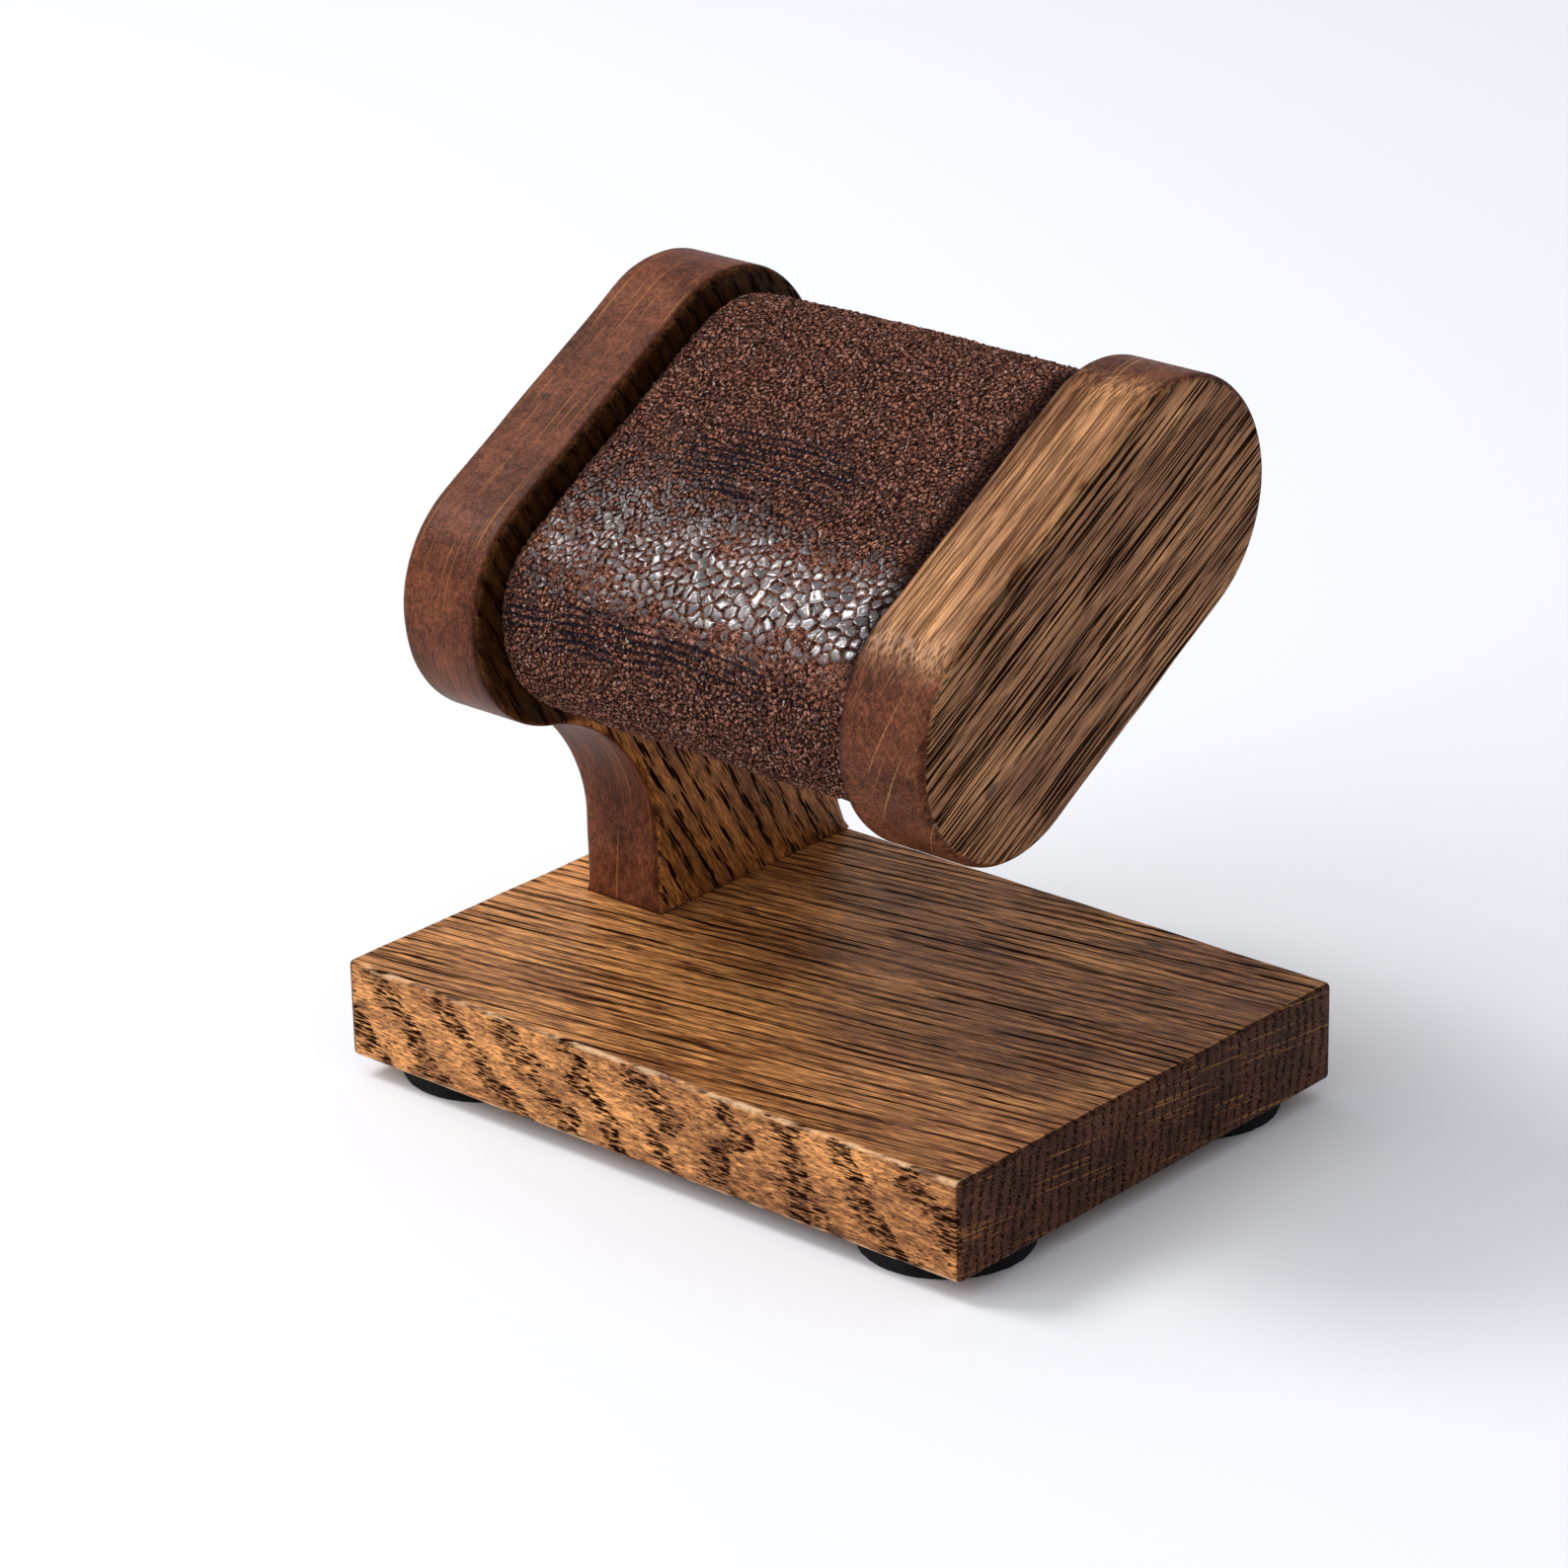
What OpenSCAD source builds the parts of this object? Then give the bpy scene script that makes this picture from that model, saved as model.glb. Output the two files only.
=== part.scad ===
// Single-watch display stand: an oak slab, one oak board that is both leg and
// left cheek, a free right cheek, and a padded leather roll held between them.
// +X is to the right, +Y is to the back and +Z is up. The origin is on the
// resting surface, below the middle of the slab.

/* [Base] */
// Width of the base slab, left to right
base_w = 115; // [100:1:150]
// Depth of the base slab, front to back
base_d = 83; // [76:1:110]
// Thickness of the base slab
base_t = 15; // [12:0.5:20]
// Radius of the rounded edges on the slab
base_edge_r = 0.75; // [0.5:0.25:2]

/* [Cheeks and leg] */
// Thickness of the two upright boards
board_t = 15; // [12:0.5:18]
// Distance between the centres of a cheek's two round ends
cheek_span = 42; // [36:1:46]
// Radius of a cheek's round ends
cheek_r = 18.6; // [16:0.2:20]
// Height of the cheeks' middle above the resting surface
cheek_z = 83; // [79:0.5:95]
// Slope of the roll's broad face above horizontal, in degrees
tilt = 30.5; // [24:0.5:36]
// Y position of the leg's upright front edge
leg_front_y = -1.2; // [-4:0.2:3]
// Radius of the hollow between the leg's front and its cheek
leg_front_r = 25; // [21:1:27]
// Radius of the long hollow down the leg's back
leg_back_r = 110; // [90:5:160]
// Radius of the rounded edges on the cheeks
edge_r = 1.25; // [0.5:0.25:2.5]

/* [Roll] */
// Length of the roll, from cheek to cheek
roll_len = 66; // [52:1:74]
// Depth of the leather below the cheeks' rim
rim_depth = 3.8; // [3:0.1:6]
// Thickness of the leather
leather_t = 1.6; // [1:0.1:2.5]
// Thickness of the wadding under the leather
wadding_t = 2; // [1:0.5:3]
// Gap between each raw leather edge and its cheek
leather_gap = 0.4; // [0.2:0.1:1]
// Width of the butt seam where the leather's two edges meet
seam_w = 0.5; // [0.3:0.1:1]

/* [Fixings] */
// Diameter of the dowels that join the core to the cheeks
dowel_d = 8; // [6:1:10]
// Length of a dowel
dowel_len = 23; // [18:1:26]
// Distance between the two dowels at each end of the core
dowel_spacing = 32; // [26:1:36]
// Outer diameter of the wood screws' thread
screw_d = 4; // [3.5:0.5:5]
// Overall length of a wood screw
screw_len = 40; // [32:1:44]
// Distance between the two screws that hold the leg
screw_spacing = 20; // [16:1:22]
// Y position of the middle between the two screws
screw_mid_y = 17; // [15:1:19]

/* [Felt pads] */
// Diameter of a felt pad
pad_d = 25; // [16:1:28]
// Thickness of a felt pad
pad_t = 3; // [1.5:0.5:4]
// Distance from a pad's rim to the slab's edges
pad_inset = 1.5; // [1:0.5:6]

/* [Hidden] */
$fn = 96;
eps = 0.01;

base_top = pad_t + base_t;
cheek_outer_x = roll_len / 2 + board_t;
leg_mid_x = -roll_len / 2 - board_t / 2;

// Middles of a cheek's lower and upper round ends, as [y, z].
half_span = cheek_span / 2;
lower_c = [-half_span * cos(tilt), cheek_z - half_span * sin(tilt)];
upper_c = [half_span * cos(tilt), cheek_z + half_span * sin(tilt)];

leather_r = cheek_r - rim_depth;
wadding_r = leather_r - leather_t;
core_r = wadding_r - wadding_t;

// Depth to which the leg's two faces are sanded below the cheek's.
leg_relief = 0.02;

// The front hollow touches the leg's upright front edge and the lower round end.
front_reach = leg_front_r + cheek_r;
front_hollow_y = leg_front_y - leg_front_r;
front_hollow = [
    front_hollow_y,
    lower_c[1] - sqrt(pow(front_reach, 2) - pow(lower_c[0] - front_hollow_y, 2))
];
front_touch = lower_c + (front_hollow - lower_c) * cheek_r / front_reach;

// The back hollow runs from the heel of the leg and touches the upper round end.
back_reach = leg_back_r + cheek_r;
heel = [base_d / 2, base_top];
back_hollow = circle_cross(heel, leg_back_r, upper_c, back_reach);
back_touch = upper_c + (back_hollow - upper_c) * cheek_r / back_reach;

dowel_in_cheek = 9;
dowel_end_gap = 0.5;
dowel_chamfer = 0.8;

// Screw sizes, with height 0 at the flat face of the countersunk head.
screw_head_r = screw_d;
screw_head_h = 2.4;
screw_root_r = 0.34 * screw_d;
screw_pitch = 1.8;
screw_tip_h = 4;
screw_plain_h = base_t - 1;
screw_hole_h = screw_len + 1;
screw_turns = floor((screw_len - screw_plain_h - screw_tip_h) / screw_pitch);
// Where a thread groove's root starts and ends, as shares of the pitch.
groove_share = [0.35, 0.65];
recess_w = 1;
recess_len = 4.4;
recess_h = 1.8;

// Crossing of two circles that lies to the right of the line from p to q.
function circle_cross(p, p_r, q, q_r) =
    let (
        d = norm(q - p),
        u = (q - p) / d,
        along = (p_r * p_r - q_r * q_r + d * d) / (2 * d),
        aside = sqrt(p_r * p_r - along * along)
    )
    p + along * u + aside * [u[1], -u[0]];

// Rectangle about the origin with corners of radius r.
module rounded_rect(w, h, r) {
    square([w, h - 2 * r], center = true);
    square([w - 2 * r, h], center = true);
    for (x = [-1, 1], y = [-1, 1])
        translate([x * (w / 2 - r), y * (h / 2 - r)]) circle(r);
}

// Tilts children whose X axis is the roll's long section and Y its short one.
module along_roll(x, length) {
    translate([x, 0, cheek_z]) rotate([tilt, 0, 0]) rotate([90, 0, 90])
        linear_extrude(length) children();
}

// The roll's section, with round ends of radius r.
module stadium(r) {
    square([cheek_span, 2 * r], center = true);
    for (side = [-1, 1]) translate([side * half_span, 0]) circle(r);
}

// A cheek's rounded board: two round ends and the straight middle between them.
module cheek_board() {
    translate([0, 0, cheek_z]) rotate([tilt, 0, 0]) {
        rotate([90, 0, 0]) linear_extrude(cheek_span, center = true)
            rounded_rect(board_t, 2 * cheek_r, edge_r);
        for (side = [-1, 1]) translate([0, side * half_span, 0]) rotate([0, 90, 0])
            rotate_extrude() intersection() {
                rounded_rect(2 * cheek_r, board_t, edge_r);
                translate([0, -board_t / 2]) square([cheek_r, board_t]);
            }
    }
}

// The board below the left cheek's long axis, down to the slab.
module leg_board() {
    rotate([90, 0, 90]) linear_extrude(board_t - 2 * leg_relief, center = true)
        difference() {
            polygon([
                [leg_front_y, base_top], heel, back_touch, upper_c,
                lower_c, front_touch, [leg_front_y, front_hollow[1]]
            ]);
            translate(front_hollow) circle(leg_front_r);
            translate(back_hollow) circle(leg_back_r);
        }
}

// Puts children at one dowel's axis: end -1 is left, place -1 is the front.
module at_dowel(end, place) {
    shift = place * dowel_spacing / 2;
    translate([end * roll_len / 2, shift * cos(tilt), cheek_z + shift * sin(tilt)])
        rotate([0, end * 90, 0]) children();
}

module at_screw(place) {
    translate([leg_mid_x, screw_mid_y + place * screw_spacing / 2, pad_t]) children();
}

// Both dowel holes at one end, reaching into the cheek and into the core.
module dowel_holes(end) {
    core_depth = dowel_len - dowel_in_cheek + dowel_end_gap;
    for (place = [-1, 1]) at_dowel(end, place)
        translate([0, 0, -core_depth])
            cylinder(d = dowel_d, h = core_depth + dowel_in_cheek + dowel_end_gap);
}

// Countersunk at the slab's underside, then as wide as the screw's thread.
module screw_holes() {
    for (place = [-1, 1]) at_screw(place) {
        translate([0, 0, -eps]) cylinder(d = screw_d, h = screw_hole_h);
        cylinder(r1 = screw_head_r, r2 = screw_d / 2, h = screw_head_h);
    }
}

module base_slab() {
    color("saddlebrown") difference() {
        translate([0, 0, pad_t + base_t / 2]) intersection() {
            linear_extrude(base_t, center = true) rounded_rect(base_w, base_d, base_edge_r);
            rotate([90, 0, 0]) linear_extrude(base_d, center = true)
                rounded_rect(base_w, base_t, base_edge_r);
            rotate([90, 0, 90]) linear_extrude(base_w, center = true)
                rounded_rect(base_d, base_t, base_edge_r);
        }
        screw_holes();
    }
}

// The left cheek and the leg are sawn from one board.
module leg_cheek() {
    color("sienna") difference() {
        translate([leg_mid_x, 0, 0]) {
            cheek_board();
            leg_board();
        }
        dowel_holes(-1);
        screw_holes();
    }
}

module end_cheek() {
    color("peru") difference() {
        translate([-leg_mid_x, 0, 0]) cheek_board();
        dowel_holes(1);
    }
}

module roll_core() {
    color("tan") difference() {
        along_roll(-roll_len / 2, roll_len) stadium(core_r);
        for (end = [-1, 1]) dowel_holes(end);
    }
}

module roll_wadding() {
    color("gainsboro") along_roll(-roll_len / 2 + leather_gap, roll_len - 2 * leather_gap)
        difference() {
            stadium(wadding_r);
            stadium(core_r);
        }
}

// One sheet wrapped round the wadding; its edges meet below the broad face.
module leather_cover() {
    color("maroon") along_roll(-roll_len / 2 + leather_gap, roll_len - 2 * leather_gap)
        difference() {
            stadium(leather_r);
            stadium(wadding_r);
            translate([-seam_w / 2, -cheek_r]) square([seam_w, cheek_r]);
        }
}

module dowel(end, place) {
    r = dowel_d / 2;
    color("burlywood") at_dowel(end, place)
        translate([0, 0, dowel_in_cheek - dowel_len])
            rotate_extrude() polygon([
                [0, 0], [r - dowel_chamfer, 0], [r, dowel_chamfer],
                [r, dowel_len - dowel_chamfer], [r - dowel_chamfer, dowel_len], [0, dowel_len]
            ]);
}

// Countersunk wood screw with a cross recess, its thread drawn as closed rings.
module leg_screw(place) {
    r = screw_d / 2;
    color("gold") at_screw(place) difference() {
        rotate_extrude() polygon(concat(
            [[0, 0], [screw_head_r, 0], [r, screw_head_h], [r, screw_plain_h]],
            [for (i = [0 : screw_turns - 1]) each [
                for (share = groove_share)
                    [screw_root_r, screw_plain_h + (i + share) * screw_pitch],
                [r, screw_plain_h + (i + 1) * screw_pitch]
            ]],
            [[screw_root_r, screw_len - screw_tip_h], [0, screw_len]]
        ));
        for (turn = [0, 90]) rotate(turn)
            translate([-recess_len / 2, -recess_w / 2, -eps]) cube([recess_len, recess_w, recess_h]);
    }
}

module felt_pad(side_x, side_y) {
    reach = pad_d / 2 + pad_inset;
    color("black")
        translate([side_x * (base_w / 2 - reach), side_y * (base_d / 2 - reach), 0])
            cylinder(d = pad_d, h = pad_t);
}

base_slab();
leg_cheek();
end_cheek();
roll_core();
roll_wadding();
leather_cover();
dowel(-1, -1);  // dowel_left_front
dowel(-1, 1);  // dowel_left_back
dowel(1, -1);  // dowel_right_front
dowel(1, 1);  // dowel_right_back
leg_screw(-1);  // leg_screw_front
leg_screw(1);  // leg_screw_back
felt_pad(-1, -1);  // felt_pad_front_left
felt_pad(1, -1);  // felt_pad_front_right
felt_pad(-1, 1);  // felt_pad_back_left
felt_pad(1, 1);  // felt_pad_back_right
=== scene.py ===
"""Looks of a single-watch display stand: oak boards, a crackled leather roll and felt pads.

Lengths are in millimetres until a mesh is made. The row frame is used throughout:
+X to the right along the roll, +Y to the back, +Z up, the origin on the resting surface.
"""

import math

import bpy
import numpy as np
from mathutils import Matrix, Vector, noise
from mathutils.geometry import delaunay_2d_cdt
from mathutils.kdtree import KDTree


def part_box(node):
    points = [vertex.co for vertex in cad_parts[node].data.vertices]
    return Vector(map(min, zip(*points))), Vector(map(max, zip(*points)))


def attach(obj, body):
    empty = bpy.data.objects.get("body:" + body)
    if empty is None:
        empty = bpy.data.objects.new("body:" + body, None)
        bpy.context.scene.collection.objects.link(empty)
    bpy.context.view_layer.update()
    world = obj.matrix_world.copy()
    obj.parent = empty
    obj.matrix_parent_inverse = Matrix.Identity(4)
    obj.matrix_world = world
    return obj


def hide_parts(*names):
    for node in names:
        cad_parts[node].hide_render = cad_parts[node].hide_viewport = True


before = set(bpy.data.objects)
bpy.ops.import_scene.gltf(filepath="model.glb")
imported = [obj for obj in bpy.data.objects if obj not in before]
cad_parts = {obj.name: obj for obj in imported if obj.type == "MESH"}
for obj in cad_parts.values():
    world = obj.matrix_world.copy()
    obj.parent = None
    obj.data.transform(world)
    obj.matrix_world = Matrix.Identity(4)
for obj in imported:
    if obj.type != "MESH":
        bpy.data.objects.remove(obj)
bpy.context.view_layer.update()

MM = 0.001

# The roll's slope, as the CAD part has it.
TILT = math.radians(30.5)
ALONG = np.array([math.cos(TILT), math.sin(TILT)])
ACROSS = np.array([-math.sin(TILT), math.cos(TILT)])

# The leg's outline, the boards' edges and the screw holes, as the CAD part has them.
LEG_FRONT_Y = -1.2
LEG_FRONT_R = 25.0
LEG_BACK_R = 110.0
SLAB_EDGE_R = 0.75
CHEEK_EDGE_R = 1.25
SCREW_GAP = 0.1
SCREW_HEAD_H = 2.4
SCREW_BORE_DEPTH = 14.0


def box_mm(node):
    """Lowest and highest corners of a CAD node, in millimetres."""
    low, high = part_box(node)
    return np.array(low) / MM, np.array(high) / MM


BASE_LOW, BASE_HIGH = box_mm("base_slab")
LEG_LOW, LEG_HIGH = box_mm("leg_cheek")
END_LOW, END_HIGH = box_mm("end_cheek")
COVER_LOW, COVER_HIGH = box_mm("leather_cover")
WADDING_LOW, WADDING_HIGH = box_mm("roll_wadding")
BASE_TOP = BASE_HIGH[2]


def stadium_sizes(low, high):
    """Half the distance between a tilted stadium's round ends, and their radius, from its box."""
    half_y = (high[1] - low[1]) / 2
    half_z = (high[2] - low[2]) / 2
    half_span = (half_y - half_z) / (math.cos(TILT) - math.sin(TILT))
    return half_span, half_y - half_span * math.cos(TILT)


HALF_SPAN, CHEEK_R = stadium_sizes(END_LOW, END_HIGH)
_, COVER_R = stadium_sizes(COVER_LOW, COVER_HIGH)
_, WADDING_R = stadium_sizes(WADDING_LOW, WADDING_HIGH)
ROLL_MID = (END_LOW[1:] + END_HIGH[1:]) / 2
LOWER_C = ROLL_MID - HALF_SPAN * ALONG
UPPER_C = ROLL_MID + HALF_SPAN * ALONG


# ---------------------------------------------------------------- outlines

def angle_of(v):
    return math.atan2(v[1], v[0])


def arc(centre, r, start, stop, step=0.8):
    """Points on an arc from one angle to another, without the last."""
    count = max(2, int(abs(stop - start) * r / step))
    angles = np.linspace(start, stop, count, endpoint=False)
    return [centre + r * np.array([math.cos(a), math.sin(a)]) for a in angles]


def line(p, q, step=0.8):
    """Points on a line from p to q, without the last."""
    p, q = np.asarray(p, float), np.asarray(q, float)
    count = max(1, int(np.linalg.norm(q - p) / step))
    return [p + (q - p) * t for t in np.linspace(0, 1, count, endpoint=False)]


def circle_cross(p, p_r, q, q_r):
    """Crossing of two circles that lies to the right of the line from p to q."""
    d = np.linalg.norm(q - p)
    u = (q - p) / d
    along = (p_r ** 2 - q_r ** 2 + d ** 2) / (2 * d)
    aside = math.sqrt(p_r ** 2 - along ** 2)
    return p + along * u + aside * np.array([u[1], -u[0]])


def stadium_outline():
    """The end cheek, as [y, z], counter-clockwise."""
    quarter = math.pi / 2
    lower_rim, upper_rim = -CHEEK_R * ACROSS, CHEEK_R * ACROSS
    return np.array(
        line(LOWER_C + lower_rim, UPPER_C + lower_rim)
        + arc(UPPER_C, CHEEK_R, TILT - quarter, TILT + quarter)
        + line(UPPER_C + upper_rim, LOWER_C + upper_rim)
        + arc(LOWER_C, CHEEK_R, TILT + quarter, TILT + 3 * quarter)
    )


def leg_outline():
    """The leg and left cheek, as [y, z], counter-clockwise from the heel."""
    quarter = math.pi / 2
    heel = np.array([BASE_HIGH[1], BASE_TOP])
    toe = np.array([LEG_FRONT_Y, BASE_TOP])
    back_c = circle_cross(heel, LEG_BACK_R, UPPER_C, LEG_BACK_R + CHEEK_R)
    reach = LEG_FRONT_R + CHEEK_R
    front_y = LEG_FRONT_Y - LEG_FRONT_R
    drop = math.sqrt(reach ** 2 - (LOWER_C[0] - front_y) ** 2)
    front_c = np.array([front_y, LOWER_C[1] - drop])
    heel_angle = angle_of(heel - back_c) % (2 * math.pi)
    back_angle = angle_of(UPPER_C - back_c) % (2 * math.pi)
    front_angle = angle_of(LOWER_C - front_c)
    return np.array(
        arc(back_c, LEG_BACK_R, heel_angle, back_angle)
        + arc(UPPER_C, CHEEK_R, angle_of(back_c - UPPER_C), TILT + quarter)
        + line(UPPER_C + CHEEK_R * ACROSS, LOWER_C + CHEEK_R * ACROSS)
        + arc(LOWER_C, CHEEK_R, TILT + quarter, angle_of(front_c - LOWER_C) + 2 * math.pi)
        + arc(front_c, LEG_FRONT_R, front_angle, 0)
        + line([LEG_FRONT_Y, front_c[1]], toe)
        + line(toe, heel)
    )


def slab_outline(corner_r=1.0):
    """The slab seen from above, as [x, y], counter-clockwise."""
    quarter = math.pi / 2
    x, y = BASE_HIGH[0] - corner_r, BASE_HIGH[1] - corner_r
    corners = [(x, -y), (x, y), (-x, y), (-x, -y)]
    points = []
    for i, corner in enumerate(corners):
        start = (i - 1) * quarter
        c = np.array(corner)
        last = c + corner_r * np.array([math.cos(start + quarter), math.sin(start + quarter)])
        following = np.array(corners[(i + 1) % 4])
        first = following + corner_r * np.array([math.cos(start + quarter), math.sin(start + quarter)])
        points += arc(c, corner_r, start, start + quarter, step=0.25)
        points += line(last, first)
    return np.array(points)


# ---------------------------------------------------------------- meshes

def miter_normals(outline):
    """Outward normals of a counter-clockwise outline, long enough to offset both edges evenly."""
    ahead = np.roll(outline, -1, axis=0) - outline
    ahead /= np.linalg.norm(ahead, axis=1)[:, None]
    edge_n = np.stack([ahead[:, 1], -ahead[:, 0]], axis=1)
    before_n = np.roll(edge_n, 1, axis=0)
    both = edge_n + before_n
    both /= np.linalg.norm(both, axis=1)[:, None]
    return both / np.sum(both * edge_n, axis=1)[:, None]


def inside(points, loop):
    """Which points lie inside a closed loop."""
    x, y = points[:, 0], points[:, 1]
    found = np.zeros(len(points), bool)
    for (x0, y0), (x1, y1) in zip(loop, np.roll(loop, -1, axis=0)):
        crosses = (y0 > y) != (y1 > y)
        if y0 != y1:
            found ^= crosses & (x < (x1 - x0) * (y - y0) / (y1 - y0) + x0)
    return found


def distance_to(points, loop):
    """Distance from each point to the nearest corner of a finely divided loop."""
    gaps = points[:, None, :] - loop[None, :, :]
    return np.sqrt((gaps ** 2).sum(2)).min(1)


def fill(loop, rng, pitch, holes=()):
    """Triangles over a loop, with points inside it. Returns the added points and the triangles."""
    low, high = loop.min(0), loop.max(0)
    xs, ys = np.arange(low[0], high[0], pitch), np.arange(low[1], high[1], pitch * 0.87)
    grid = np.array([[x + (j % 2) * pitch / 2, y] for j, y in enumerate(ys) for x in xs])
    grid += rng.uniform(-0.15, 0.15, grid.shape) * pitch
    rims = [loop, *holes]
    keep = inside(grid, loop)
    for rim in rims:
        keep &= distance_to(grid, rim) > pitch * 0.6
    for hole in holes:
        keep &= ~inside(grid, hole)
    added = np.vstack([*holes, grid[keep]]) if holes else grid[keep]
    points = np.vstack([loop, added])
    edges, start = [], 0
    for rim in rims:
        n = len(rim)
        edges += [(start + i, start + (i + 1) % n) for i in range(n)]
        start += n
    out, _, faces, origin, _, _ = delaunay_2d_cdt([Vector(p) for p in points], edges, [], 1, 1e-6)
    number = [o[0] if o else None for o in origin]
    triangles = []
    for face in faces:
        centre = np.mean([out[i] for i in face], axis=0)
        if any(inside(centre[None, :], hole)[0] for hole in holes):
            continue
        triangles.append([number[i] for i in face])
    return added, triangles


def to_object(name, verts_mm, faces, attributes=None):
    """A smoothly shaded mesh object in the row frame, with float attributes on its points."""
    mesh = bpy.data.meshes.new(name)
    mesh.from_pydata([tuple(v) for v in np.asarray(verts_mm) * MM], [], faces)
    for key, values in (attributes or {}).items():
        layer = mesh.attributes.new(key, "FLOAT", "POINT")
        layer.data.foreach_set("value", np.asarray(values, np.float32))
    mesh.polygons.foreach_set("use_smooth", [True] * len(mesh.polygons))
    mesh.update()
    piece = bpy.data.objects.new(name, mesh)
    bpy.context.scene.collection.objects.link(piece)
    return piece


def wobble(points, size, seed):
    """Smooth noise from -1 to 1 at each point, with lumps of that size in millimetres."""
    shift = Vector((seed * 7.31, seed * 3.17, seed * 5.77))
    return np.array([noise.noise(Vector(p) / size + shift) for p in points])


def off_axis(points):
    """Distance of [y, z] points from the line between a cheek's two round middles."""
    along = np.clip((points - LOWER_C) @ ALONG, 0, 2 * HALF_SPAN)
    return np.linalg.norm(points - LOWER_C - along[:, None] * ALONG, axis=1)


# How finely a board's mesh is divided.
ROUND_STEPS = 6
RIM_STEPS = 13
FACE_PITCH = 1.7
HOLE_SIDES = 32

# Hand work on the boards: the edges' radius at the foot, how far it varies elsewhere, and how far and
# over what lengths the surface wanders.
FOOT_EDGE_R = 0.35
EDGE_VARIES = 0.22
EDGE_WAVE = 9.0
LONG_WANDER, LONG_WAVE = 0.05, 14.0
SHORT_WANDER, SHORT_WAVE = 0.025, 3.5


def quads_between(ring_count, count):
    """Faces between rings of count points each."""
    faces = []
    for j in range(ring_count - 1):
        for i in range(count):
            k = (i + 1) % count
            faces.append((j * count + i, j * count + k, (j + 1) * count + k, (j + 1) * count + i))
    return faces


def cap_faces(triangles, start, first, count, flip):
    """Triangles from fill(), numbered as in the mesh: a rim of count points at start, the rest at first."""
    faces = []
    for tri in triangles:
        own = [start + i if i < count else first + i - count for i in tri]
        faces.append(tuple(own[::-1]) if flip else tuple(own))
    return faces


def rounded_rings(outline, half_t, radius):
    """Rings of [a, b, c] from a board's lower face round its rim to its upper face, and how far each lies on
    the rounded edge, where the edges take wear and a painted highlight.
    """
    normals = miter_normals(outline)
    count = len(outline)
    turns = np.linspace(math.pi / 2, 0, ROUND_STEPS)
    rim = np.linspace(-1, 1, RIM_STEPS)[1:-1]
    stations = [("low", t) for t in turns] + [("rim", s) for s in rim] + [("high", t) for t in turns[::-1]]
    rings, worn = [], []
    for kind, value in stations:
        if kind == "rim":
            inset, c = np.zeros(count), value * (half_t - radius)
            worn.append(np.zeros(count))
        else:
            inset = radius * (1 - math.cos(value))
            c = half_t - radius * (1 - math.sin(value))
            c = -c if kind == "low" else c
            worn.append(np.full(count, math.sin(2 * value) ** 0.5))
        rings.append(np.column_stack([outline - inset[:, None] * normals, c]))
    return rings, worn


def circle_loop(centre, r):
    angles = np.linspace(0, 2 * math.pi, HOLE_SIDES, endpoint=False)
    return np.array(centre) + r * np.column_stack([np.cos(angles), np.sin(angles)])


def countersink(hole, loop, first, level, half_t):
    """Points and faces of a hole. Its rim's vertices start at number first, and its own at level."""
    centre, head_r, bore_r, head_h, depth = hole
    n = len(loop)
    outward = (loop - np.array(centre)) / head_r
    points = np.vstack([
        np.column_stack([centre + outward * bore_r, np.full(n, -half_t + head_h)]),
        np.column_stack([centre + outward * bore_r, np.full(n, -half_t + depth)]),
    ])
    faces = []
    for i in range(n):
        k = (i + 1) % n
        faces.append((first + i, first + k, level + k, level + i))
        faces.append((level + i, level + k, level + n + k, level + n + i))
    faces.append(tuple(level + n + i for i in range(n)))
    return points, faces


def uneven(points, sharp, seed):
    """Points moved a little in or out, as on hand-sanded wood, and most where sharp is 1."""
    bend = LONG_WANDER * wobble(points, LONG_WAVE, seed + 1)
    bend = bend + SHORT_WANDER * wobble(points, SHORT_WAVE, seed + 2)
    away = points - points.mean(0)
    away /= np.maximum(np.linalg.norm(away, axis=1), 1e-6)[:, None]
    return points + away * bend[:, None] * (0.4 + 0.6 * sharp[:, None])


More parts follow.
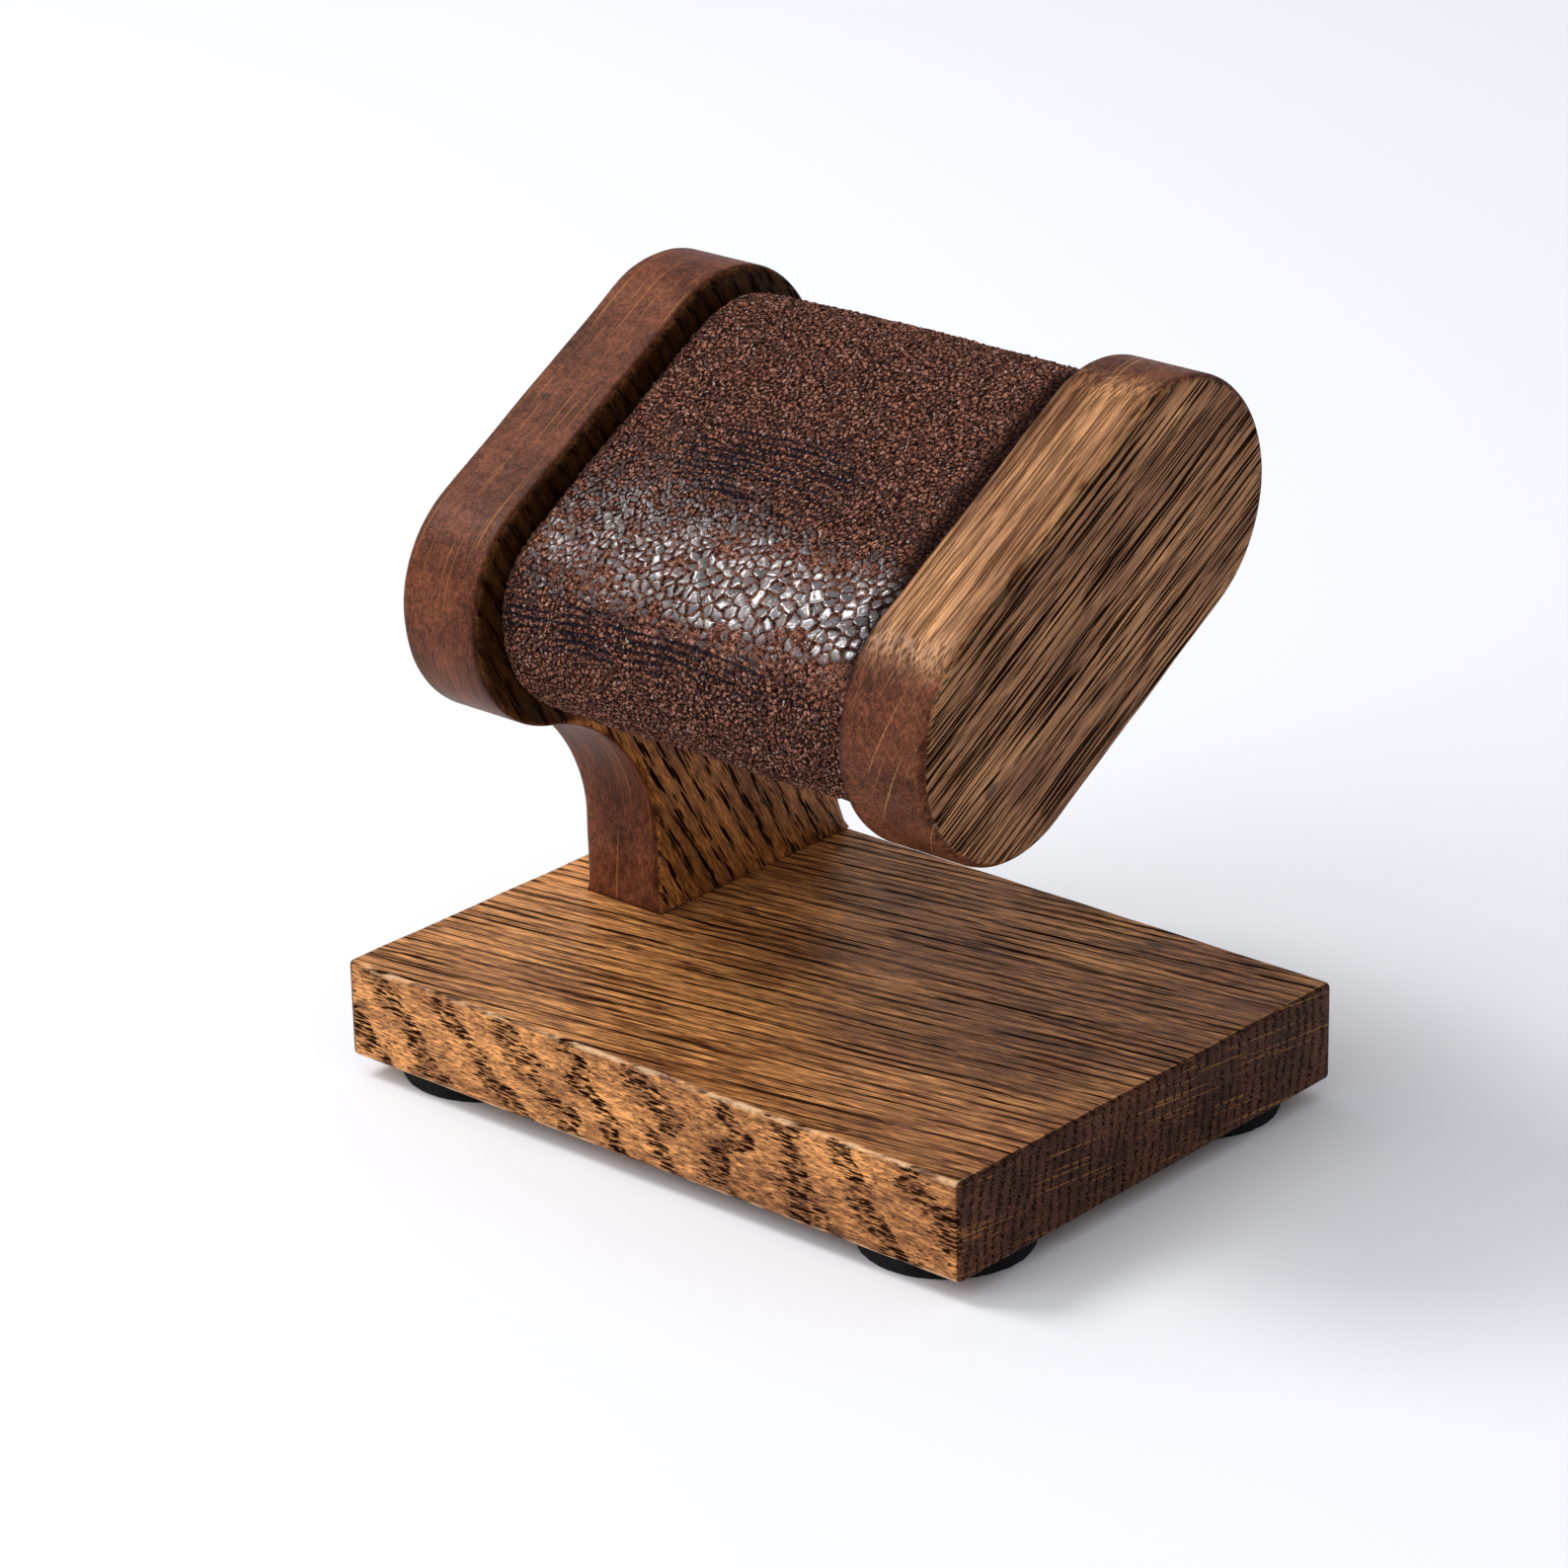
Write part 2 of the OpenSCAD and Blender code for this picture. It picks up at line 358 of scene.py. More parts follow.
def board(name, outline, half_t, place, edge_r, seed, foot=None, holes=(), roll_side=0):
    """A board with rounded edges. place turns [a, b, c] into the row frame, c being its thickness.

    foot is the height below which the edges stay nearly sharp, and holes are countersinks in the
    lower face as (centre, head radius, bore radius, head height, depth). roll_side is the sign of
    the face that the roll meets, which is darkened round the roll: partly grime, partly painted shade.
    """
    rng = np.random.default_rng(seed)
    count = len(outline)
    wave = wobble(np.column_stack([outline, np.zeros(count)]), EDGE_WAVE, seed)
    radius = edge_r * (1 + EDGE_VARIES * wave)
    if foot is not None:
        radius = FOOT_EDGE_R + (radius - FOOT_EDGE_R) * smooth(foot, foot + 1.5, outline[:, 1])
    rings, worn = rounded_rings(outline, half_t, radius)
    verts = np.vstack(rings)
    faces = quads_between(len(rings), count)

    hole_loops = [circle_loop(hole[0], hole[1]) for hole in holes]
    for side, start in ((1, (len(rings) - 1) * count), (-1, 0)):
        cut = hole_loops if side < 0 else []
        added, triangles = fill(verts[start:start + count, :2], rng, FACE_PITCH, cut)
        first = len(verts)
        verts = np.vstack([verts, np.column_stack([added, np.full(len(added), side * half_t)])])
        faces += cap_faces(triangles, start, first, count, flip=side < 0)
    # The lower face came last, and the rims of its holes are its first added points.
    for hole, loop in zip(holes, hole_loops):
        points, walls = countersink(hole, loop, first, len(verts), half_t)
        verts = np.vstack([verts, points])
        faces += walls
        first += len(loop)

    edge = np.concatenate([*worn, np.zeros(len(verts) - len(rings) * count)])
    roll_grime_shade = np.zeros(len(verts))
    # Darkening where the roll meets the board: partly grime, partly painted shade.
    if roll_side:
        on_face = smooth(half_t - 1.6, half_t - 0.4, verts[:, 2] * roll_side)
        roll_grime_shade = on_face * (1 - smooth(CHEEK_R - 1.0, CHEEK_R + 1.5, off_axis(verts[:, :2])))
    world = uneven(verts @ place.T, np.clip(edge * 1.5, 0, 1), seed)
    return to_object(name, world, faces, {"edge": edge, "roll_grime_shade": roll_grime_shade})


# Columns are where a board's own a, b and c axes point in the row frame.
FLAT = np.eye(3)
UPRIGHT = np.array([[0.0, 0.0, 1.0], [1.0, 0.0, 0.0], [0.0, 1.0, 0.0]])


def shifted(piece, offset_mm):
    piece.data.transform(Matrix.Translation(Vector(offset_mm) * MM))
    return piece


def make_slab():
    half_t = (BASE_HIGH[2] - BASE_LOW[2]) / 2
    holes = []
    for node in ("leg_screw_front", "leg_screw_back"):
        low, high = box_mm(node)
        centre = (low[:2] + high[:2]) / 2
        head_r = (high[0] - low[0]) / 2
        holes.append((centre, head_r + SCREW_GAP, head_r / 2, SCREW_HEAD_H, SCREW_BORE_DEPTH))
    piece = board("slab", slab_outline(), half_t, FLAT, SLAB_EDGE_R, seed=11, holes=holes)
    return shifted(piece, (0, 0, (BASE_LOW[2] + BASE_HIGH[2]) / 2))


def make_cheek(name, outline, low, high, seed, **looks):
    """A board that stands between the left and the right face of its CAD node."""
    piece = board(name, outline, (high[0] - low[0]) / 2, UPRIGHT, CHEEK_EDGE_R, seed, **looks)
    return shifted(piece, ((low[0] + high[0]) / 2, 0, 0))


# ---------------------------------------------------------------- roll

def smooth(low, high, value):
    t = np.clip((np.asarray(value, float) - low) / (high - low), 0, 1)
    return t * t * (3 - 2 * t)


def around(r, travel):
    """Points and outward normals on a stadium of radius r, as [along, across].

    travel is the distance from the middle of the underside, going round by the front.
    """
    turn = math.pi * r
    points, normals = np.zeros((len(travel), 2)), np.zeros((len(travel), 2))
    for i, s in enumerate(travel):
        if s < HALF_SPAN:
            points[i], normals[i] = (-s, -r), (0, -1)
        elif s < HALF_SPAN + turn:
            a = -math.pi / 2 - (s - HALF_SPAN) / r
            normals[i] = (math.cos(a), math.sin(a))
            points[i] = np.array([-HALF_SPAN, 0]) + r * normals[i]
        elif s < 3 * HALF_SPAN + turn:
            points[i], normals[i] = (s - turn - 2 * HALF_SPAN, r), (0, 1)
        elif s < 3 * HALF_SPAN + 2 * turn:
            a = math.pi / 2 - (s - 3 * HALF_SPAN - turn) / r
            normals[i] = (math.cos(a), math.sin(a))
            points[i] = np.array([HALF_SPAN, 0]) + r * normals[i]
        else:
            points[i], normals[i] = (4 * HALF_SPAN + 2 * turn - s, -r), (0, -1)
    return points, normals


def way_round(r, fine, coarse):
    """Distances round a stadium: finely divided where it is seen from above, coarsely below."""
    turn = math.pi * r
    length = 4 * HALF_SPAN + 2 * turn
    seen = (HALF_SPAN + 0.25 * turn, 3 * HALF_SPAN + 1.75 * turn)
    parts = []
    for start, stop, step in ((0, seen[0], coarse), (*seen, fine), (seen[1], length, coarse)):
        parts.append(np.linspace(start, stop, int((stop - start) / step), endpoint=False))
    return np.concatenate(parts)


def value_noise(x, y, rng, table=256):
    """Smooth noise from -1 to 1 with lumps one unit wide."""
    grid = rng.uniform(-1, 1, (table, table))
    ix, iy = np.floor(x).astype(int), np.floor(y).astype(int)
    fx, fy = x - ix, y - iy
    fx, fy = fx * fx * (3 - 2 * fx), fy * fy * (3 - 2 * fy)

    def at(a, b):
        return grid[a % table, b % table]

    low = at(ix, iy) * (1 - fx) + at(ix + 1, iy) * fx
    high = at(ix, iy + 1) * (1 - fx) + at(ix + 1, iy + 1) * fx
    return low * (1 - fy) + high * fy


def layers(x, y, rng, octaves):
    """Several sizes of smooth noise added up, from -1 to 1."""
    total, weight = 0.0, 0.0
    for i in range(octaves):
        total = total + value_noise(x * 2 ** i, y * 2 ** i, rng) / 2 ** i
        weight += 1 / 2 ** i
    return total / weight


def tree_of(points):
    """A search tree over flat points."""
    tree = KDTree(len(points))
    for i, p in enumerate(points):
        tree.insert((p[0], p[1], 0), i)
    tree.balance()
    return tree


def scatter(x_range, s_range, size, rng, pitch=0.42):
    """Points spread over a rectangle, about size(x, s) apart."""
    xs, ss = np.arange(*x_range, pitch), np.arange(*s_range, pitch)
    grid = np.array([(x, t) for x in xs for t in ss])
    grid += rng.uniform(-0.5, 0.5, grid.shape) * pitch
    reach = size(grid[:, 0], grid[:, 1])
    tree = tree_of(grid)
    alive = np.ones(len(grid), bool)
    kept = []
    for i in rng.permutation(len(grid)):
        if not alive[i]:
            continue
        kept.append(i)
        for _, j, _ in tree.find_range((grid[i, 0], grid[i, 1], 0), reach[i]):
            alive[j] = False
    return grid[kept]


def cells(x, y, seeds):
    """For each place: its cell's number, the way from the cell's seed, and the distance to the crack."""
    tree = tree_of(seeds)
    number = np.zeros(x.size, int)
    offset = np.zeros((x.size, 2))
    crack = np.zeros(x.size)
    for i, (a, b) in enumerate(zip(x.ravel(), y.ravel())):
        (first, k, d1), (second, _, d2) = tree.find_n((a, b, 0), 2)
        number[i] = k
        offset[i] = a - first[0], b - first[1]
        crack[i] = (d2 * d2 - d1 * d1) / (2 * (second - first).length)
    return number.reshape(x.shape), offset.reshape(x.shape + (2,)), crack.reshape(x.shape)


INNER_RINGS = 12
WADDING_T = 2.0
WADDING_GAP = 0.1


def tube(name, r_out, r_in, x_range, step, coarse, shape, seed):
    """A closed soft tube round the roll. shape gives the outer wall's height and attributes."""
    travel = way_round(r_out, step, coarse)
    points, normals = around(r_out, travel)
    full_out = 4 * HALF_SPAN + 2 * math.pi * r_out
    full_in = 4 * HALF_SPAN + 2 * math.pi * r_in
    inner_points, _ = around(r_in, travel * full_in / full_out)
    xs = np.linspace(*x_range, int((x_range[1] - x_range[0]) / step))
    grid_x, grid_s = np.meshgrid(xs, travel, indexing="ij")
    height, attributes = shape(grid_x, grid_s, points, full_out, np.random.default_rng(seed))
    radial = points[None] + height[..., None] * normals[None]
    rows = [np.concatenate([grid_x[..., None], radial], axis=2).reshape(-1, 3)]
    inner_x = np.linspace(x_range[1], x_range[0], INNER_RINGS)
    for x in inner_x:
        rows.append(np.column_stack([np.full(len(travel), x), inner_points]))
    local = np.vstack(rows)
    verts = np.column_stack([
        local[:, 0],
        ROLL_MID[0] + local[:, 1] * ALONG[0] + local[:, 2] * ACROSS[0],
        ROLL_MID[1] + local[:, 1] * ALONG[1] + local[:, 2] * ACROSS[1],
    ])
    row_count = len(xs) + len(inner_x)
    i = np.arange(len(travel))
    k = (i + 1) % len(travel)
    quads = []
    for row in range(row_count):
        a, b = row * len(travel), (row + 1) % row_count * len(travel)
        quads.append(np.column_stack([a + i, b + i, b + k, a + k]))
    padding = np.zeros(len(inner_x) * len(travel))
    full = {key: np.concatenate([v.reshape(-1), padding]) for key, v in attributes.items()}
    return to_object(name, verts, np.vstack(quads).tolist(), full)


# Places on the leather, as distances round it from the middle of its underside.
TOP_START = HALF_SPAN + math.pi * COVER_R
SHINE_AT = TOP_START - 0.6
CREASES_AT = TOP_START + 20.0
LOW_CREASES_AT = TOP_START - 12.0
CREASE_PITCH = 1.25

# How far the leather stands out: on its flat sides, at its middle, and at its raw ends, which roll in.
SWELL_TOP, SWELL_BELOW = 0.45, 0.8
BELLY = 0.35
END_DROP, END_WIDTH = 1.1, 2.4


def cell_size(x, s):
    """Width of the leather's scales: wide on the worn bend near the free cheek, fine elsewhere."""
    bend = np.exp(-((s - SHINE_AT) / 8.0) ** 2) * (0.30 + 0.70 * smooth(-26.0, 10.0, x))
    return 0.62 + 1.05 * bend


def leather_gloss(x, s, end_gap, rng):
    """How shiny the leather is worn: most at the bend, and higher up the roll at its left."""
    from_shine = s - SHINE_AT - 1.5 * smooth(0, 33, x)
    fall = np.where(from_shine > 0, 17.0 - 8.5 * smooth(-24, 18, x), 7.0)
    gloss = np.exp(-(from_shine / fall) ** 2)
    gloss *= smooth(0.4, 4.0, end_gap) * (0.55 + 0.45 * smooth(-26, 6, x))
    return np.clip(gloss * (0.9 + 0.60 * layers(x / 5.0, s / 3.0, rng, 3)), 0, 1)


def leather_scales(x, s, length, rng):
    """Relief of the scales, how far each place is out of the cracks, how wide its scale is, and its tone."""
    warp_x = 0.34 * layers(x / 1.0, s / 1.0, rng, 2)
    warp_s = 0.34 * layers(x / 1.0 + 40, s / 1.0, rng, 2)
    seeds = scatter((x.min() - 1, x.max() + 1), (-1, length + 1), cell_size, rng)
    number, offset, crack = cells(x + warp_x, s + warp_s, seeds)
    random = rng.uniform(0, 1, (len(seeds), 3))[number]
    wide = smooth(0.70, 1.1, cell_size(x, s))
    plateau = smooth(0.06 + 0.07 * wide, 0.19 + 0.12 * wide, crack)
    tilt = ((random[..., :2] - 0.5) * offset).sum(-1)
    crumple = layers(x / 0.6, s / 0.6, rng, 2)
    relief = 0.15 * (plateau - 0.6) + (0.85 - 0.30 * wide) * tilt + (0.060 - 0.042 * wide) * crumple
    return relief, plateau, wide, random[..., 2]


def leather_creases(x, s, rng):
    """Fine creases along the roll, above and below the bend, from 0 to 1."""
    bow_line = 2.2 * ((x - x.mean()) / 33.0) ** 2 + 0.5 * value_noise(x / 8.0, s / 6.0, rng)
    waves = np.sin(2 * math.pi * (s + bow_line) / CREASE_PITCH) + 1.3 * layers(x / 4.5, s / 1.3, rng, 2)
    upper = np.exp(-((s - CREASES_AT) / 7.0) ** 2) * np.exp(-((x + 3.0) / 15.0) ** 2)
    lower = np.exp(-((s - LOW_CREASES_AT) / 3.5) ** 2) * (1 - 0.6 * smooth(0, 25, x))
    zone = np.clip(upper + 0.8 * lower, 0, 1)
    return smooth(0.05, 0.5, zone) * smooth(0.20, 0.85, waves)


def leather_shape(x, s, points, length, rng):
    """Crown, slack, scales, creases and the raw ends of the leather."""
    along = points[None, :, 0] + 0 * x
    across = points[None, :, 1] + 0 * x
    end_gap = np.minimum(x - x.min(), x.max() - x)
    on_top = smooth(0, COVER_R, across)
    below = smooth(0, COVER_R, -across)
    bow = 1 - (along / (HALF_SPAN + COVER_R)) ** 2

    swell = (SWELL_TOP * on_top + SWELL_BELOW * below) * bow
    belly = BELLY * (1 - (2 * (x - x.mean()) / (x.max() - x.min())) ** 2)
    roll_in = -END_DROP * (1 - smooth(0, END_WIDTH, end_gap)) ** 1.7
    lumps = 0.15 * layers(x / 9.0, s / 9.0, rng, 2)

    gloss = leather_gloss(x, s, end_gap, rng)
    relief, plateau, wide, tone = leather_scales(x, s, length, rng)
    crease = leather_creases(x, s, rng)

    nap = layers(x / 0.75, s / 0.75, rng, 2)
    fur = np.where(rng.uniform(0, 1, x.shape) > 0.965, 0.16, 0.0) * (1 - gloss) * on_top
    seam_gap = np.minimum(s, length - s)
    seam = -0.9 * (1 - smooth(0.15, 0.7, seam_gap)) + 0.18 * (1 - smooth(0.7, 2.2, seam_gap))
    ragged = 0.12 * value_noise(x / 0.5, s / 0.6, rng) * (1 - smooth(0, 0.8, end_gap))

    height = swell + belly + roll_in + lumps + relief - 0.18 * crease
    height = height + 0.075 * nap * (1 - 0.8 * gloss) + fur + seam + ragged
    return height, {
        "plateau": plateau,
        "wide": wide,
        "gloss": gloss,
        "tone": tone,
        "crease": crease,
        "raw": 1 - smooth(0.15, 0.7, end_gap),
        # Painted shade: a dark band on the leather beside the right cheek, from the bend upward.
        "cheek_shade": (1 - smooth(1.5, 7.5, x.max() - x)) * smooth(TOP_START - 14, TOP_START + 2, s),
    }


def wadding_shape(x, s, points, length, rng):
    """Soft lumps of wadding, always below the leather."""
    return -0.14 + 0.1 * layers(x / 4.0, s / 4.0, rng, 3), {}


# ---------------------------------------------------------------- felt

def make_pad(name, node, seed):
    """A disc of pressed felt with a fuzzy, slightly uneven side."""
    low, high = box_mm(node)
    centre, r, t = (low + high) / 2, (high[0] - low[0]) / 2, high[2] - low[2]
    n = 120
    angles = np.linspace(0, 2 * math.pi, n, endpoint=False)
    unit = np.column_stack([np.cos(angles), np.sin(angles)])
    levels = [(0.0, r - 0.45), (0.12, r - 0.15), (0.45, r), (t / 2, r - 0.05), (t - 0.3, r), (t, r - 0.1)]
    rng = np.random.default_rng(seed)
    rings = []
    for z, ring_r in levels:
        fuzz = rng.uniform(-0.10, 0.03, n)
        rings.append(np.column_stack([unit * (ring_r + fuzz)[:, None], np.full(n, z)]))
    verts = np.vstack(rings)
    faces = quads_between(len(rings), n)
    for start, z, flip in ((0, 0.0, True), ((len(rings) - 1) * n, t, False)):
        added, triangles = fill(verts[start:start + n, :2], rng, 1.1)
        first = len(verts)
        bumps = rng.uniform(0, 0.06, len(added)) * (1 if flip else -1)
        verts = np.vstack([verts, np.column_stack([added, z + bumps])])
        faces += cap_faces(triangles, start, first, n, flip)
    verts = verts + np.array([centre[0], centre[1], low[2]])
    return to_object(name, verts, faces)


# ---------------------------------------------------------------- node helper

class Shade:
    """A material's node tree, written as short expressions."""

    def __init__(self, name):
        self.material = bpy.data.materials.new(name)
        self.material.use_nodes = True
        self.tree = self.material.node_tree
        self.shader = self.tree.nodes["Principled BSDF"]
        self.place = self.add("ShaderNodeTexCoord").outputs["Object"]

    def add(self, kind, **settings):
        node = self.tree.nodes.new(kind)
        for key, value in settings.items():
            setattr(node, key, value)
        return node

    def put(self, socket, value):
        if isinstance(value, bpy.types.NodeSocket):
            self.tree.links.new(value, socket)
        else:
            socket.default_value = value

    def math(self, operation, a, b=0.0, c=0.0, clamp=False):
        node = self.add("ShaderNodeMath", operation=operation, use_clamp=clamp)
        for socket, value in zip(node.inputs, (a, b, c)):
            self.put(socket, value)
        return node.outputs[0]

    def times(self, a, b):
        return self.math("MULTIPLY", a, b)

    def times_plus(self, a, b, c, clamp=False):
        """a times b, plus c."""
        return self.math("MULTIPLY_ADD", a, b, c, clamp)

    def vector(self, operation, a, b):
        node = self.add("ShaderNodeVectorMath", operation=operation)
        self.put(node.inputs[0], a)
        self.put(node.inputs[1], b)
        return node

    def dot(self, a, b):
        return self.vector("DOT_PRODUCT", a, tuple(b)).outputs["Value"]

    def place_mm(self):
        return self.vector("MULTIPLY", self.place, (1 / MM,) * 3).outputs["Vector"]

    def combine(self, x, y, z):
        node = self.add("ShaderNodeCombineXYZ")
        for socket, value in zip(node.inputs, (x, y, z)):
            self.put(socket, value)
        return node.outputs[0]

    def noise(self, where, scale=1.0, detail=2.0, roughness=0.5, distortion=0.0):
        node = self.add("ShaderNodeTexNoise")
        self.put(node.inputs["Vector"], where)
        self.put(node.inputs["Scale"], scale)
        self.put(node.inputs["Detail"], detail)
        self.put(node.inputs["Roughness"], roughness)
        self.put(node.inputs["Distortion"], distortion)
        return node.outputs[0]

    def cells(self, where, scale=1.0, feature="F1"):
        node = self.add("ShaderNodeTexVoronoi", feature=feature)
        self.put(node.inputs["Vector"], where)
        self.put(node.inputs["Scale"], scale)
        return node

    def span(self, value, low, high, to_low=0.0, to_high=1.0, kind="SMOOTHSTEP"):
        node = self.add("ShaderNodeMapRange", interpolation_type=kind)
        wanted = {"Value": value, "From Min": low, "From Max": high, "To Min": to_low, "To Max": to_high}
        for key, v in wanted.items():
            self.put(node.inputs[key], v)
        return node.outputs[0]

    def mix(self, share, a, b, blend="MIX"):
        node = self.add("ShaderNodeMix", data_type="RGBA", blend_type=blend, clamp_factor=True)
        self.put(node.inputs[0], share)
        self.put(node.inputs[6], a if not isinstance(a, tuple) else (*a, 1.0))
        self.put(node.inputs[7], b if not isinstance(b, tuple) else (*b, 1.0))
        return node.outputs[2]

    def ramp(self, value, stops):
        node = self.add("ShaderNodeValToRGB")
        elements = node.color_ramp.elements
        while len(elements) < len(stops):
            elements.new(0.5)
        for element, (position, colour) in zip(elements, stops):
            element.position = position
            element.color = (*colour, 1.0)
        self.put(node.inputs[0], value)
        return node.outputs[0]

    def attribute(self, name):
        return self.add("ShaderNodeAttribute", attribute_name=name).outputs["Fac"]

    def bump(self, height, depth_mm, strength=1.0, below=None):
        node = self.add("ShaderNodeBump")
        self.put(node.inputs["Height"], height)
        self.put(node.inputs["Distance"], depth_mm * MM)
        self.put(node.inputs["Strength"], strength)
        if below is not None:
            self.put(node.inputs["Normal"], below)
        return node.outputs[0]

    def finish(self, colour, roughness, normal=None, **constants):
        self.put(self.shader.inputs["Base Color"], colour)
        self.put(self.shader.inputs["Roughness"], roughness)
        if normal is not None:
            self.put(self.shader.inputs["Normal"], normal)
        for key, value in constants.items():
            self.shader.inputs[key.replace("_", " ")].default_value = value
        return self.material


# ---------------------------------------------------------------- materials

def unit(v):
    v = np.array(v, float)
    return v / np.linalg.norm(v)


def scaled(colour, k):
    return tuple(min(1.0, k * c) for c in colour)


OAK_DARK = (0.070, 0.020, 0.006)
PORE_DIRT = (0.010, 0.0035, 0.002)
WORN_EDGE_HIGHLIGHT = (0.76, 0.49, 0.27)
ROLL_GRIME_SHADE = (0.010, 0.003, 0.0015)

# About half the slab's length: the way over which the painted falloff of light darkens the wood.
PAINTED_FALLOFF_WAY = 57.0

# Two sizes of oak pore: length and spacing in mm, radius as a share of the spacing in early and in late
# wood, and the shift that keeps the two apart.
PORE_SIZES = ((36.0, 0.62, 0.42, 0.19, 1.3), (26.0, 0.45, 0.41, 0.18, 5.9))


class Fibres:
    """Places in a board, in mm along its fibres, outward across its rings and aside along them."""

    def __init__(self, s, grain, growth, seed):
        self.s = s
        self.axis = unit(grain)
        outward = unit(np.array(growth, float) - np.dot(self.axis, growth) * self.axis)
        aside = np.cross(self.axis, outward)
        along = s.dot(s.place, self.axis / MM)
        self.outward = s.dot(s.place, outward / MM)
        self.aside = s.dot(s.place, aside / MM)
        self.along = s.math("ADD", along, 211.0 * seed)

    def stretched(self, l_size, r_size, t_size, shift=0.0):
        """These places with those lengths as their units."""
        return self.s.combine(
            self.s.times_plus(self.along, 1 / l_size, shift),
            self.s.times_plus(self.outward, 1 / r_size, shift),
            self.s.times_plus(self.aside, 1 / t_size, shift),
        )


def early_wood(s, wood, seed, ring, sway):
    """The open-pored half of each growth ring, from 0 to 1."""
    drift = s.noise(wood.stretched(48, 11, 11), detail=2.0)
    waver = s.noise(wood.stretched(9, 4, 4, 3.7), detail=2.0)
    ring_at = s.times_plus(drift, sway, wood.outward)
    ring_at = s.times_plus(waver, 0.25 * sway, ring_at)
    phase = s.math("FRACT", s.times_plus(ring_at, 1 / ring, 0.13 * seed))
    return s.times(s.span(phase, 0.0, 0.10), s.span(phase, 0.65, 0.30))


def oak_pores(s, wood, early, vessel, pore, evenness):
    """Long vessels that weave in and out of the surface, crowded in the early wood, from 0 to 1."""
    slits = []
    for length, width, crowded, sparse, shift in PORE_SIZES:
        gap = width * pore
        weave = s.noise(wood.stretched(11, 3, 3, shift), detail=2.0)
        weave_back = s.noise(wood.stretched(11, 3, 3, shift + 4.0), detail=2.0)
        place = s.combine(
            s.times_plus(wood.along, 1 / (length * vessel), shift),
            s.times_plus(weave, 1.1, s.times_plus(wood.outward, 1 / gap, shift)),
            s.times_plus(weave_back, 1.1, s.times_plus(wood.aside, 1 / gap, shift)),
        )
        cell = s.cells(place)
        lot = s.dot(cell.outputs["Color"], (1.0, 0.0, 0.0))
        fewest = sparse + evenness * (crowded - sparse)
        room = s.span(early, 0.0, 1.0, fewest, crowded)
        reach = s.times(room, s.span(lot, 0.0, 1.0, 0.75, 1.2))
        slits.append(s.span(s.math("SUBTRACT", reach, cell.outputs["Distance"]), -0.02, 0.05))
    return s.math("MAXIMUM", slits[0], s.times(slits[1], 0.9))


